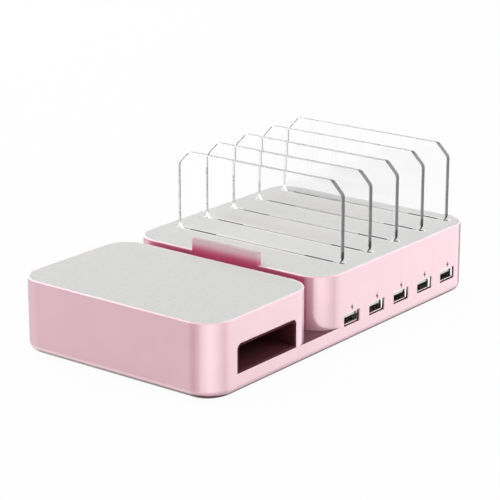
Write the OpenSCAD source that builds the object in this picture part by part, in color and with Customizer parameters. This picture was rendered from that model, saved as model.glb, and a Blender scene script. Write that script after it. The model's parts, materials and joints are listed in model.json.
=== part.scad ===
// Charging station organizer: a low storage box and a charging block on one moulded
// housing, with a phone slot between them and five clear dividers that lift out.
// Millimetres. Origin at the centre of the footprint, on the surface the feet stand on.
// +X is the side with the sockets, -Y the front of the storage box, +Z up.

/* [Housing] */
// Width of the whole station, along X
body_w = 130; // [120:1:150]
// Height from the underside of the housing to its top rim
body_h = 39.6; // [37:0.2:50]
// Radius of the upright corners
corner_r = 15.5; // [13:0.5:20]
// Thickness of the side walls
wall = 2.4; // [2:0.1:3]
// Thickness of the two top decks, under their pads
deck_t = 2.4; // [2:0.1:3.2]
// Radius of the rounding along the lower edge
underside_r = 4.5; // [3.5:0.5:6]
// Bevel along the top rim
rim_bevel = 0.4; // [0.2:0.1:0.6]
// Height of the slot floor above the underside
floor_h = 10.4; // [9.8:0.2:13]

/* [Storage box] */
// Depth of the storage box, along Y
box_d = 83.8; // [78:0.2:100]
// Width of the storage mouth
mouth_w = 48; // [40:1:50]
// Height of the storage mouth
mouth_h = 15.4; // [12:0.2:16]
// Distance from the front face to the mouth
mouth_inset = 19.1; // [18:0.1:21]
// Radius of the mouth's two upper corners
mouth_r = 3; // [1:0.5:5]
// Depth of the storage pocket behind the side wall
pocket_d = 108; // [80:1:110]
// Wall of the pocket liner, whose neck passes through the side wall
liner_wall = 1.2; // [1:0.1:1.6]

/* [Phone slot] */
// Width of the slot between the two blocks
slot_w = 7.1; // [6:0.1:14]
// Width of the phone rest
rest_w = 44; // [30:1:60]
// Thickness of the phone rest
rest_t = 3.2; // [3:0.1:4.5]
// How far the rest stands in front of the slot wall
rest_proud = 0.4; // [0.2:0.1:1.2]
// Height of the rest above the top rim
rest_rise = 6.4; // [3:0.1:20]

/* [Charging block] */
// Depth of the charging block, along Y
module_d = 140.6; // [138:0.2:160]

/* [Pads] */
// Thickness of the top pads
pad_t = 0.8; // [0.5:0.1:1.2]
// Width of the rim left around each pad
rim_w = 0.9; // [0.6:0.1:1.6]

/* [Dividers] */
// Number of dividers
divider_count = 5; // [1:1:5]
// Distance from one divider to the next
divider_pitch = 25.15; // [20:0.05:25.2]
// Distance from the front of the charging block to the middle of the first divider
divider_inset = 29.75; // [27:0.25:31]
// Width of a divider
divider_w = 110.2; // [104:0.2:112]
// Thickness of a divider
divider_t = 3; // [2.6:0.1:3.4]
// Height of a divider above the top rim
divider_rise = 43.8; // [30:0.2:90]
// Cut across each upper corner
divider_bevel = 7; // [4:0.5:12]
// Rounding where the bevels meet the edges
divider_round = 4; // [1:0.5:5]
// Width of each tongue
tongue_w = 18; // [10:1:20]
// Distance from a divider's end to its tongue
tongue_inset = 6.8; // [6:0.1:12]
// Length of each tongue
tongue_len = 5; // [3:0.5:6]
// Depth of the groove below the rim
groove_depth = 1.2; // [1:0.1:1.8]
// Width of the raised lip around each groove
lip_w = 0.6; // [0.4:0.1:1]

/* [Charging sockets] */
// Number of sockets
port_count = 5; // [1:1:5]
// Distance from one socket to the next
port_pitch = 23; // [20:0.5:23.5]
// Distance from the front of the charging block to the middle of the first socket
port_inset = 24.85; // [22:0.25:26]
// Height of the socket centres above the underside
port_h = 12.85; // [12:0.05:14]
// Width of the opening in the housing
port_open_w = 14; // [13.8:0.1:15]
// Height of the opening in the housing
port_open_h = 6.7; // [6.5:0.1:7.5]

/* [Mains inlet] */
// Distance between the two pins
pin_pitch = 8.6; // [8:0.1:9]
// Diameter of a pin
pin_d = 2.4; // [2:0.1:2.6]
// Height of the pin well, and width of each of its two lobes
well_h = 8; // [7:0.1:8.4]

/* [Underside] */
// Thickness of the bottom cover
cover_t = 2.2; // [2:0.1:3]
// Distance from the side of the housing to the edge of the cover
cover_inset = 7.5; // [7:0.1:9]
// Width of the ledge that the cover sits against
ledge_w = 2.5; // [2:0.1:3.5]
// Diameter of a foot
foot_d = 12; // [8:1:16]
// How far the feet stand below the housing
foot_proud = 1; // [0.6:0.1:3]
// Depth of the feet in the cover
foot_sunk = 0.8; // [0.5:0.1:1.1]
// Width of a vent slot
vent_w = 2; // [1.5:0.1:3]
// Length of a vent slot
vent_len = 26; // [10:1:30]

/* [Hidden] */
$fn = 64;
cut = 1;
fit = 0.2;
slide_fit = 0.25;
pad_gap = 0.05;
liner_fit = 0.1;
pin_fit = 0.1;

// Levels
under_z = foot_proud;
top_z = under_z + body_h;
deck_top = top_z - pad_t;
deck_bot = deck_top - deck_t;
floor_top = under_z + floor_h;
floor_bot = floor_top - wall;
cover_top = under_z + cover_t;
ledge_t = 1.6;
ledge_top = cover_top + ledge_t;

// Places along Y
total_d = box_d + slot_w + module_d;
front_y = -total_d / 2;
slot_front = front_y + box_d;
slot_back = slot_front + slot_w;
rear_y = total_d / 2;
half_w = body_w / 2;

// Storage pocket
mouth_y0 = front_y + mouth_inset;
mouth_y1 = mouth_y0 + mouth_w;
mouth_z1 = floor_top + mouth_h;
pocket_x1 = half_w - wall;
pocket_x0 = pocket_x1 - pocket_d;
liner_top = mouth_z1 - liner_fit;
liner_in = liner_fit + liner_wall;
neck_set = 0.3;
collar_side = 1.5;
collar_t = 1.6;
boss_d = 6;
boss_in = 8;
boss_floor = 1;
boss_x = [pocket_x0 + boss_in, pocket_x1 - 2 * boss_in];
boss_y = [mouth_y0 + boss_in, mouth_y1 - boss_in];

// Phone rest
rest_y0 = slot_back - rest_proud;
rest_y1 = rest_y0 + rest_t;
flange_side = 8;
flange_t = 2;
flange_h = 16;
flange_lift = 4;
flange_y0 = slot_back + wall;
flange_z0 = floor_top + flange_lift;
flange_z1 = flange_z0 + flange_h;
stake_d = 3;
stake_head_d = 5.4;
stake_head_t = 1.2;
stake_in = 4;
stake_z = [flange_z0 + stake_in, flange_z1 - stake_in];
stake_x = rest_w / 2 + flange_side / 2;

// Dividers, as many as leave the least distance behind the last one
divider_rear = 9;
divider_n = min(divider_count, 1 + floor((module_d - divider_inset - divider_rear) / divider_pitch));
divider_y = [for (i = [0 : divider_n - 1]) slot_back + divider_inset + i * divider_pitch];
groove_w = divider_t + 2 * slide_fit;
groove_over = 1.5;
groove_web = 0.5;
groove_z = top_z - groove_depth;
divider_z0 = groove_z + fit;
divider_z1 = top_z + divider_rise;
tongue_x = divider_w / 2 - tongue_inset - tongue_w / 2;
tongue_z0 = divider_z0 - tongue_len;
socket_wall = 1.2;
mortise_w = tongue_w + 2 * slide_fit;
rib_x = tongue_x - mortise_w / 2 - socket_wall / 2;
socket_z0 = tongue_z0 - fit;

// Type A socket: its standard sizes follow from the opening that it fills
lip_w_side = 0.15;
lip_w_top = 0.2;
lip_t = 0.35;
port_clear = 0.25;
block_clear = 0.1;
shell_w = port_open_w - 2 * (port_clear + lip_w_side);
shell_h = port_open_h - 2 * (port_clear + lip_w_top);
shell_len = 14;
shell_t = 0.35;
shell_set = 1.2;
spring_w = 2;
spring_len = 4;
spring_in = 4.5;
spring_gap = 5.2;
tongue_plate_side = 0.7;
tongue_plate_t = 1.5;
tongue_plate_drop = 0.75;
tip_set = 2.5;
block_len = 3;
contact_w = 1;
contact_t = 0.2;
contact_pitch = 2.3;
contact_set = 1;
port_rear = corner_r + port_open_w / 2;
port_n = min(port_count, 1 + floor((module_d - port_inset - port_rear) / port_pitch));
port_z = under_z + port_h;
port_y = [for (i = [0 : port_n - 1]) slot_back + port_inset + i * port_pitch];
shell_x1 = half_w - shell_set;
shell_x0 = shell_x1 - shell_len;
block_x1 = shell_x0 + block_len;
tip_x = half_w - tip_set;
tongue_plate_w = shell_w - 2 * (shell_t + tongue_plate_side);
tongue_plate_z0 = port_z + shell_h / 2 - shell_t - tongue_plate_drop - tongue_plate_t;

// Board
board_t = 1.6;
board_side = 4.6;
board_gap = 0.8;
board_end = 14.5;
board_top = port_z - shell_h / 2;
board_bot = board_top - board_t;
board_x0 = -half_w + wall + board_side;
board_x1 = half_w - wall - board_gap;
board_y0 = slot_back + wall + board_end;
board_y1 = rear_y - wall - board_end;
board_y = (board_y0 + board_y1) / 2;

// Gaps between parts on the board
part_gap = 4;
tight_gap = 1.2;

// Posts and screws
post_d = 7;
post_edge = 2.4;
post_gap = 5;
screw_d = 2.6;
pilot_d = 2.8;
screw_hole_d = 3.1;
head_d = 5.2;
head_taper = 0.5;
head_t = 1.4;
cross_len = 2.6;
cross_w = 0.6;
cross_depth = 0.7;
screw_len = 9;
board_bite = 4;
post_in = cover_inset + head_d / 2 + post_edge;
post_x = half_w - cover_inset - post_d;
post_rows = [front_y + post_in, slot_back + wall + post_gap + post_d / 2, rear_y - post_in];
post_places = [for (x = [-post_x, post_x], y = post_rows) [x, y]];
rib_h = 4;
rib_t = 1.2;

// Mains inlet
inlet_side = 1.7;
inlet_roof = 2.2;
inlet_w = pin_pitch + well_h + 2 * inlet_side;
inlet_h = well_h + 2 * inlet_roof;
inlet_len = 24;
inlet_set = 0.4;
well_depth = 12;
well_waist = 5.6;
pin_set = 2;
pin_tail = 2;
inlet_y = board_y;
inlet_z = board_top + inlet_h / 2;
inlet_x0 = -half_w + inlet_set;
inlet_x1 = inlet_x0 + inlet_len;
well_x1 = inlet_x0 + well_depth;

// Parts beside the inlet, placed from it
fuse_d = 8.4;
fuse_h = 8;
fuse_x = inlet_x1 + part_gap + fuse_d / 2;
fuse_y = -inlet_w / 2 - part_gap - fuse_d / 2;
x_cap_l = 18;
x_cap_w = 8;
x_cap_h = 15;
x_cap_x = inlet_x1 - x_cap_l / 2;
x_cap_y = fuse_y - fuse_d / 2 - part_gap - x_cap_w;
choke_hole_d = 9;
choke_ring = 5;
choke_h = 9;
choke_y = inlet_w / 2 + part_gap + choke_hole_d / 2 + choke_ring;

// Parts in the middle of the board, placed from the transformer
transformer_x = 8;
core_w = 28;
core_d = 12;
core_h = 19;
core_yoke = 4;
core_limb = 4;
core_window = 5.5;
coil_end = 4.8;
coil_y = core_d / 2 + fit + coil_end;
sink_len = 34;
sink_h = 15;
sink_t = 2;
fin_reach = 5;
fin_t = 1.2;
fin_count = 5;
sink_1_x = transformer_x - core_w / 2 - part_gap - sink_t;
bulk_d = 18;
bulk_h = 18;
bulk_crimp = 0.7;
bulk_rim = 0.8;
bulk_x = transformer_x - bulk_d / 2 - part_gap;
bulk_y = sink_len / 2 + part_gap + bulk_d / 2;
bridge_t = 4.5;
bridge_w = 18;
bridge_h = 12;
bridge_x = bulk_x - bulk_d / 2 - part_gap - bridge_t;
out_cap_d = 8;
out_cap_h = 14;
out_cap_y = coil_y + part_gap + out_cap_d / 2;
out_cap_step = out_cap_d + part_gap;
out_caps = [for (k = [0, 1]) each [
    [transformer_x + core_w / 2, -out_cap_y - k * out_cap_step],
    [transformer_x + part_gap, out_cap_y + k * out_cap_step]]];

// Parts behind the sockets, placed from them
controller_l = 5;
controller_w = 4;
controller_h = 1.6;
controller_x = shell_x0 - part_gap - controller_l;
sink_2_x = controller_x - tight_gap - fin_reach - sink_t;
inductor_hole_d = 6.4;
inductor_ring = 3.6;
inductor_h = 7;
inductor_r = inductor_hole_d / 2 + inductor_ring;
inductor_x = controller_x - tight_gap - inductor_r;
inductor_y = sink_len / 2 + part_gap + inductor_r;

// Board standoffs, clear of the ledge and of the port controllers
standoff_d = 6;
standoff_in = 5;
standoff_gap = 0.5;
standoff_x = [-half_w + cover_inset + ledge_w + standoff_gap + standoff_d / 2,
    controller_x - tight_gap - head_d / 2];
standoff_places = [for (x = standoff_x, y = [board_y0 + standoff_in, board_y1 - standoff_in]) [x, y]];

// Feet and vents
foot_in = 24;
foot_taper = 1;
foot_places = [for (x = [-1, 1], y = [-1, 1]) [x * (half_w - foot_in), y * (rear_y - foot_in)]];
vent_pitch = 6;
vent_rows = 7;

PORTS = [1 : port_n];
DIVIDERS = [1 : divider_n];
INSIDE = ["main_board", "mains_inlet", "inlet_pins", "fuse", "x_capacitor", "emi_choke",
    "bridge_rectifier", "bulk_capacitor", "primary_heatsink", "transformer_core", "transformer_coil",
    "secondary_heatsink", "output_capacitors", "output_inductor", "port_controllers"];

// Corner of an outline, rounded to radius r, as n short steps from p0-p1 to p1-p2
function unit(v) = v / norm(v);
function corner(p0, p1, p2, r, n = 8) =
    let (u = unit(p0 - p1), v = unit(p2 - p1), half = acos(u * v) / 2)
    let (c = p1 + unit(u + v) * r / sin(half))
    let (s = p1 + u * r / tan(half) - c, e = p1 + v * r / tan(half) - c)
    let (a0 = atan2(s[1], s[0]), turn = (atan2(e[1], e[0]) - a0 + 540) % 360 - 180)
    [for (k = [0 : n]) c + r * [cos(a0 + turn * k / n), sin(a0 + turn * k / n)]];

// Outline whose corner i is rounded to radii[i]; a radius of 0 leaves it sharp
function rounded_outline(pts, radii) =
    let (n = len(pts))
    [for (i = [0 : n - 1]) each radii[i] == 0 ? [pts[i]]
        : corner(pts[(i + n - 1) % n], pts[i], pts[(i + 1) % n], radii[i])];

// A flat outline in X and Z, carried along Y, or one in Y and Z, carried along X
module along_y(y0, y1) {
    translate([0, y1, 0]) rotate([90, 0, 0]) linear_extrude(y1 - y0) children();
}
module along_x(x0, x1) {
    translate([x0, 0, 0]) rotate([90, 0, 90]) linear_extrude(x1 - x0) children();
}

// Rectangle centred on X from y0 to y1 with round corners
module round_rect(w, y0, y1, r) {
    translate([-w / 2 + r, y0]) square([w - 2 * r, y1 - y0]);
    translate([-w / 2, y0 + r]) square([w, y1 - y0 - 2 * r]);
    for (x = [-w / 2 + r, w / 2 - r], y = [y0 + r, y1 - r]) translate([x, y]) circle(r);
}

// Upright slab that follows the housing's outline from y0 to y1, set in by inset
module slab(inset, y0, y1, z0, z1) {
    translate([0, 0, z0]) linear_extrude(z1 - z0)
        round_rect(body_w - 2 * inset, y0 + inset, y1 - inset, corner_r - inset);
}

// Long narrow shape with round ends, centred on y, for grooves and their lips
module pill(len, w, y) {
    translate([-(len - w) / 2, y - w / 2]) square([len - w, w]);
    for (x = [-1, 1]) translate([x * (len - w) / 2, y]) circle(w / 2);
}

// Half section of a block from its corner centre outwards: round below, bevelled above
module edge_section(h, low_r, bevel) {
    translate([0, low_r]) polygon([[0, 0], [corner_r, 0], [corner_r, h - low_r - bevel],
        [corner_r - bevel, h - low_r], [0, h - low_r]]);
    if (low_r > 0) {
        square([corner_r - low_r, low_r]);
        intersection() {
            translate([corner_r - low_r, low_r]) circle(low_r);
            translate([corner_r - low_r, 0]) square(low_r);
        }
    }
}

// Block with the housing's outline from y0 to y1: the edge section turned at the four
// corners and carried along the four sides, round a plain core
module block(y0, y1, z0, h, low_r, bevel) {
    cx = half_w - corner_r;
    ym = (y0 + y1) / 2;
    cy = (y1 - y0) / 2 - corner_r;
    translate([0, ym, z0]) {
        translate([-cx, -cy, 0]) cube([2 * cx, 2 * cy, h]);
        for (a = [0, 180]) rotate(a) {
            translate([cx, cy, 0]) rotate_extrude(angle = 90) edge_section(h, low_r, bevel);
            translate([-cx, cy, 0]) rotate(90) rotate_extrude(angle = 90) edge_section(h, low_r, bevel);
            translate([cx, cy, 0]) rotate([90, 0, 0]) linear_extrude(2 * cy) edge_section(h, low_r, bevel);
            translate([-cx, cy, 0]) rotate([90, 0, 90]) linear_extrude(2 * cx) edge_section(h, low_r, bevel);
        }
    }
}

// Housing
module housing_outside() {
    block(front_y, rear_y, under_z, floor_h, underside_r, 0);
    block(front_y, slot_front, floor_top, top_z - floor_top, 0, rim_bevel);
    block(slot_back, rear_y, floor_top, top_z - floor_top, 0, rim_bevel);
}

module housing_hollow() {
    slab(wall, front_y, slot_front, ledge_top, deck_bot);
    slab(wall, slot_back, rear_y, ledge_top, deck_bot);
    slab(wall, front_y, rear_y, ledge_top, floor_bot);
    slab(cover_inset + ledge_w, front_y, rear_y, cover_top - cut, ledge_top + cut);
    slab(cover_inset, front_y, rear_y, under_z - cut, cover_top);
    slab(rim_w, front_y, slot_front, deck_top, top_z + cut);
    slab(rim_w, slot_back, rear_y, deck_top, top_z + cut);
}

module mouth_outline(grow = 0) {
    polygon(rounded_outline(
        [[mouth_y0 - grow, floor_top - grow], [mouth_y1 + grow, floor_top - grow],
         [mouth_y1 + grow, mouth_z1 + grow], [mouth_y0 - grow, mouth_z1 + grow]],
        [0, 0, max(0, mouth_r + grow), max(0, mouth_r + grow)]));
}

module rest_notch() {
    translate([-rest_w / 2 - fit, slot_back - cut, floor_top])
        cube([rest_w + 2 * fit, wall + cut, top_z - floor_top + cut]);
    translate([-rest_w / 2 - fit, slot_back, deck_bot - cut])
        cube([rest_w + 2 * fit, rest_y1 + fit - slot_back, top_z - deck_bot + 2 * cut]);
}

// How far the pad reaches to each side at y, less inside the round corners
function pad_reach(y) =
    let (d = max(0, y - rear_y + corner_r, slot_back + corner_r - y) + groove_w / 2)
    half_w - corner_r + sqrt(pow(corner_r - rim_w, 2) - (d > groove_w / 2 ? d * d : 0));

// A groove runs a little past its divider, and leaves a web of pad at its ends
function groove_len(y) = 2 * min(divider_w / 2 + groove_over, pad_reach(y) - lip_w - groove_web);

module divider_groove(y) {
    translate([0, 0, groove_z]) linear_extrude(groove_depth + cut) pill(groove_len(y), groove_w, y);
    for (x = [-tongue_x, tongue_x])
        translate([x - mortise_w / 2, y - groove_w / 2, socket_z0])
            cube([mortise_w, groove_w, groove_z - socket_z0 + cut]);
}

module divider_seat(y) {
    translate([0, 0, deck_top - cut]) linear_extrude(pad_t + cut)
        pill(groove_len(y) + 2 * lip_w, groove_w + 2 * lip_w, y);
    for (x = [-tongue_x, tongue_x])
        translate([x - mortise_w / 2 - socket_wall, y - groove_w / 2 - socket_wall, socket_z0 - socket_wall])
            cube([mortise_w + 2 * socket_wall, groove_w + 2 * socket_wall,
                deck_bot - socket_z0 + socket_wall + cut]);
}

// Ribs under the decks: two that tie the divider sockets together, and a cross over the liner
module deck_ribs() {
    for (x = [-rib_x, rib_x]) translate([x - socket_wall / 2, slot_back + wall / 2, deck_bot - rib_h])
        cube([socket_wall, module_d - wall, rib_h + cut]);
    translate([-half_w + wall / 2, (mouth_y0 + mouth_y1 - rib_t) / 2, deck_bot - rib_h])
        cube([body_w - wall, rib_t, rib_h + cut]);
    translate([(pocket_x0 + pocket_x1 - rib_t) / 2, front_y + wall / 2, deck_bot - rib_h])
        cube([rib_t, box_d - wall, rib_h + cut]);
}

module screw_posts() {
    for (p = post_places) translate([p[0], p[1], cover_top])
        cylinder(d = post_d, h = deck_bot + cut - cover_top);
}

// Pilot holes for the cover, and the liner's screw holes, sunk in the deck under the pad
module screw_holes() {
    for (p = post_places) translate([p[0], p[1], cover_top - cut]) cylinder(d = pilot_d, h = screw_len + cut);
    for (x = boss_x, y = boss_y) translate([x, y, deck_bot - cut]) {
        cylinder(d = screw_hole_d, h = deck_t + 2 * cut);
        translate([0, 0, cut + deck_t - head_t]) cylinder(d = head_d + 2 * fit, h = head_t + cut);
    }
}

module rest_stakes() {
    for (x = [-stake_x, stake_x], z = stake_z) translate([x, flange_y0 - cut, z]) rotate([-90, 0, 0]) {
        cylinder(d = stake_d, h = cut + flange_t);
        translate([0, 0, cut + flange_t]) cylinder(d1 = stake_head_d, d2 = stake_d, h = stake_head_t);
    }
}

module inlet_opening() {
    translate([-half_w - cut, inlet_y - inlet_w / 2 - fit, inlet_z - inlet_h / 2 - fit])
        cube([wall + 2 * cut, inlet_w + 2 * fit, inlet_h + 2 * fit]);
}

module port_opening(y) {
    translate([half_w - wall - cut, y - port_open_w / 2, port_z - port_open_h / 2])
        cube([wall + 2 * cut, port_open_w, port_open_h]);
}

module housing() {
    color([0.90, 0.72, 0.77]) difference() {
        union() {
            difference() {
                housing_outside();
                housing_hollow();
            }
            for (y = divider_y) divider_seat(y);
            screw_posts();
            deck_ribs();
        }
        for (y = divider_y) divider_groove(y);
        screw_holes();
        along_x(pocket_x1 - cut, half_w + cut) mouth_outline();
        rest_notch();
        inlet_opening();
        for (y = port_y) port_opening(y);
    }
    color([0.90, 0.72, 0.77]) rest_stakes();
}

// Pads
module front_top_pad() {
    color([0.85, 0.85, 0.84]) slab(rim_w + pad_gap, front_y, slot_front, deck_top, top_z);
}

module rear_top_pad() {
    color([0.85, 0.85, 0.84]) difference() {
        slab(rim_w + pad_gap, slot_back, rear_y, deck_top, top_z);
        for (y = divider_y) translate([0, 0, deck_top - cut]) linear_extrude(pad_t + 2 * cut)
            pill(groove_len(y) + 2 * (lip_w + pad_gap), groove_w + 2 * (lip_w + pad_gap), y);
        translate([-rest_w / 2 - fit, slot_back, deck_top - cut])
            cube([rest_w + 2 * fit, rest_y1 + fit - slot_back, pad_t + 2 * cut]);
    }
}

// Clear divider with bevelled upper corners and two tongues below
module divider(i) {
    y = divider_y[i - 1];
    w = divider_w / 2;
    b = divider_bevel;
    color([0.85, 0.92, 0.95, 0.45]) along_y(y - divider_t / 2, y + divider_t / 2) {
        polygon(rounded_outline(
            [[-w, divider_z0], [w, divider_z0], [w, divider_z1 - b], [w - b, divider_z1],
             [-w + b, divider_z1], [-w, divider_z1 - b]],
            [divider_round, divider_round, divider_round, divider_round, divider_round, divider_round]));
        for (x = [-tongue_x, tongue_x]) translate([x - tongue_w / 2, tongue_z0])
            square([tongue_w, tongue_len + cut]);
    }
}

// Phone rest: upright plate in the slot wall, with a flange staked on behind it
module phone_rest() {
    color([0.90, 0.70, 0.76]) difference() {
        union() {
            translate([-rest_w / 2, rest_y0, floor_top]) cube([rest_w, rest_t, top_z + rest_rise - floor_top]);
            translate([-rest_w / 2, rest_y0, flange_z0])
                cube([rest_w, flange_y0 + flange_t - rest_y0, flange_h]);
            translate([-rest_w / 2 - flange_side, flange_y0, flange_z0])
                cube([rest_w + 2 * flange_side, flange_t, flange_h]);
        }
        for (x = [-stake_x, stake_x], z = stake_z) translate([x, flange_y0 - cut, z]) rotate([-90, 0, 0])
            cylinder(d = stake_d + fit, h = flange_t + 2 * cut);
    }
}

// Storage pocket: a liner with one open end, whose neck fills the mouth and whose collar lies
// behind the side wall, hung by four bosses on its roof
module storage_liner() {
    color([0.36, 0.17, 0.21]) difference() {
        union() {
            along_x(pocket_x0 - liner_wall, half_w - neck_set) mouth_outline(-liner_fit);
            along_x(pocket_x1 - pad_gap - collar_t, pocket_x1 - pad_gap) mouth_outline(collar_side);
            for (x = boss_x, y = boss_y) translate([x, y, liner_top - liner_wall / 2])
                cylinder(d = boss_d, h = deck_bot - liner_top + liner_wall / 2);
        }
        along_x(pocket_x0, half_w + cut) mouth_outline(-liner_in);
        for (x = boss_x, y = boss_y) translate([x, y, liner_top + boss_floor])
            cylinder(d = pilot_d, h = deck_bot - liner_top);
    }
}

// Type A socket
module usb_shell(i) {
    y = port_y[i - 1];
    color([0.80, 0.80, 0.82]) difference() {
        union() {
            translate([shell_x0, y - shell_w / 2, port_z - shell_h / 2]) cube([shell_len, shell_w, shell_h]);
            translate([shell_x1 - lip_t, y - port_open_w / 2 + port_clear, port_z - port_open_h / 2 + port_clear])
                cube([lip_t, port_open_w - 2 * port_clear, port_open_h - 2 * port_clear]);
        }
        translate([shell_x0 - cut, y - shell_w / 2 + shell_t, port_z - shell_h / 2 + shell_t])
            cube([shell_len + 2 * cut, shell_w - 2 * shell_t, shell_h - 2 * shell_t]);
        for (k = [-1, 1])
            translate([shell_x1 - spring_in - spring_len, y + (k * spring_gap - spring_w) / 2, port_z])
            cube([spring_len, spring_w, shell_h]);
    }
}

module usb_insulator(i) {
    y = port_y[i - 1];
    block_w = shell_w - 2 * shell_t - 2 * block_clear;
    block_h = shell_h - 2 * shell_t - 2 * block_clear;
    color([0.92, 0.92, 0.90]) {
        translate([shell_x0, y - block_w / 2, port_z - block_h / 2]) cube([block_len, block_w, block_h]);
        translate([block_x1, y - tongue_plate_w / 2, tongue_plate_z0])
            cube([tip_x - block_x1, tongue_plate_w, tongue_plate_t]);
    }
}

module usb_contacts(i) {
    y = port_y[i - 1];
    color([0.85, 0.70, 0.35]) for (k = [-1.5 : 1.5]) {
        translate([block_x1, y + k * contact_pitch - contact_w / 2, tongue_plate_z0 - contact_t])
            cube([tip_x - block_x1 - contact_set, contact_w, contact_t]);
        translate([shell_x0 - contact_t, y + k * contact_pitch - contact_w / 2, board_top])
            cube([contact_t, contact_w, shell_h / 2]);
    }
}

// Bottom cover with board standoffs, screw holes, foot pockets and vents
module bottom_cover() {
    color([0.88, 0.70, 0.75]) difference() {
        union() {
            slab(cover_inset + fit, front_y, rear_y, under_z, cover_top);
            for (p = standoff_places) translate([p[0], p[1], cover_top - cut])
                cylinder(d = standoff_d, h = board_bot - cover_top + cut);
        }
        for (p = standoff_places) translate([p[0], p[1], cover_top]) cylinder(d = pilot_d, h = board_bot);
        for (p = post_places) translate([p[0], p[1], under_z - cut]) {
            cylinder(d = screw_hole_d, h = cover_t + 2 * cut);
            cylinder(d = head_d + 2 * fit, h = cut + head_t);
        }
        for (p = foot_places) translate([p[0], p[1], under_z - cut])
            cylinder(d = foot_d + 2 * fit, h = cut + foot_sunk);
        for (k = [0 : vent_rows - 1])
            translate([0, board_y + (k - (vent_rows - 1) / 2) * vent_pitch, under_z - cut])
                linear_extrude(cover_t + 2 * cut) pill(vent_len, vent_w, 0);
    }
}

module foot(i) {
    p = foot_places[i - 1];
    color([0.20, 0.20, 0.21]) translate([p[0], p[1], 0]) {
        cylinder(d1 = foot_d - foot_taper, d2 = foot_d, h = foot_proud / 2);
        translate([0, 0, foot_proud / 2]) cylinder(d = foot_d, h = foot_proud / 2 + foot_sunk);
    }
}

// Pan head screw pointing up, the underside of its head at z 0
module screw(len) {
    color([0.62, 0.63, 0.65]) {
        cylinder(d = screw_d, h = len);
        translate([0, 0, -head_t]) difference() {
            cylinder(d1 = head_d - 2 * head_taper, d2 = head_d, h = head_t);
            for (a = [0, 90]) rotate(a) translate([-cross_len / 2, -cross_w / 2, -cut])
                cube([cross_len, cross_w, cut + cross_depth]);
        }
    }
}

module cover_screws() {
    for (p = post_places) translate([p[0], p[1], under_z + head_t]) screw(screw_len);
}

module board_screws() {
    for (p = standoff_places) translate([p[0], p[1], board_top]) rotate([180, 0, 0])
        screw(board_t + board_bite);
}

module liner_screws() {
    for (x = boss_x, y = boss_y) translate([x, y, deck_top - head_t]) rotate([180, 0, 0])
        screw(deck_t - head_t + deck_bot - liner_top - 2 * boss_floor);
}

// Board and what stands on it
module main_board() {
    color([0.10, 0.35, 0.22]) difference() {
        translate([board_x0, board_y0, board_bot]) cube([board_x1 - board_x0, board_y1 - board_y0, board_t]);
        for (p = standoff_places) translate([p[0], p[1], board_bot - cut])
            cylinder(d = screw_hole_d, h = board_t + 2 * cut);
    }
}

module well_outline() {
    for (y = [-1, 1]) translate([inlet_y + y * pin_pitch / 2, inlet_z]) circle(well_h / 2);
    translate([inlet_y - pin_pitch / 2, inlet_z - well_waist / 2]) square([pin_pitch, well_waist]);
}

module mains_inlet() {
    color([0.12, 0.12, 0.13]) difference() {
        translate([inlet_x0, inlet_y - inlet_w / 2, inlet_z - inlet_h / 2]) cube([inlet_len, inlet_w, inlet_h]);
        along_x(inlet_x0 - cut, well_x1) well_outline();
        for (y = [-1, 1]) translate([well_x1 - cut, inlet_y + y * pin_pitch / 2, inlet_z]) rotate([0, 90, 0])
            cylinder(d = pin_d + pin_fit, h = inlet_len);
    }
}

module inlet_pins() {
    color([0.80, 0.78, 0.72]) for (y = [-1, 1]) {
        translate([inlet_x0 + pin_set, inlet_y + y * pin_pitch / 2, inlet_z]) rotate([0, 90, 0])
            cylinder(d = pin_d, h = inlet_x1 - inlet_x0 - pin_set + pin_tail);
        translate([inlet_x1 + pin_tail, inlet_y + y * pin_pitch / 2, board_top])
            cylinder(d = pin_d, h = inlet_z - board_top);
    }
}

module on_board(x, y) {
    translate([x, board_y + y, board_top]) children();
}

module winding(hole_d, ring, h) {
    rotate_extrude() translate([hole_d / 2, 0]) square([ring, h]);
}

module fuse() {
    color([0.15, 0.15, 0.16]) on_board(fuse_x, fuse_y) cylinder(d = fuse_d, h = fuse_h);
}

module x_capacitor() {
    color([0.80, 0.66, 0.16]) on_board(x_cap_x, x_cap_y) cube([x_cap_l, x_cap_w, x_cap_h]);
}

module emi_choke() {
    color([0.55, 0.32, 0.14]) on_board(inlet_x1, choke_y) winding(choke_hole_d, choke_ring, choke_h);
}

module bridge_rectifier() {
    color([0.13, 0.13, 0.14]) on_board(bridge_x, bulk_y - bridge_w / 2) cube([bridge_t, bridge_w, bridge_h]);
}

module bulk_capacitor() {
    color([0.18, 0.20, 0.34]) on_board(bulk_x, bulk_y) {
        cylinder(d = bulk_d, h = bulk_h);
        translate([0, 0, bulk_h]) cylinder(d = bulk_d - 2 * bulk_crimp, h = bulk_rim);
    }
}

// Heatsink with its fins on the side given
module finned_plate(side) {
    cube([sink_t, sink_len, sink_h]);
    fin_step = (sink_len - fin_t) / (fin_count - 1);
    for (k = [0 : fin_count - 1]) translate([side > 0 ? sink_t : -fin_reach, k * fin_step, 0])
        cube([fin_reach, fin_t, sink_h]);
}

module primary_heatsink() {
    color([0.72, 0.73, 0.75]) on_board(sink_1_x, -sink_len / 2) finned_plate(-1);
}

module secondary_heatsink() {
    color([0.72, 0.73, 0.75]) on_board(sink_2_x, -sink_len / 2) finned_plate(1);
}

module transformer_core() {
    color([0.22, 0.22, 0.23]) on_board(transformer_x, 0) along_y(-core_d / 2, core_d / 2) difference() {
        translate([-core_w / 2, 0]) square([core_w, core_h]);
        for (x = [-core_w / 2 + core_limb, core_w / 2 - core_limb - core_window]) translate([x, core_yoke])
            square([core_window, core_h - 2 * core_yoke]);
    }
}

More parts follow.
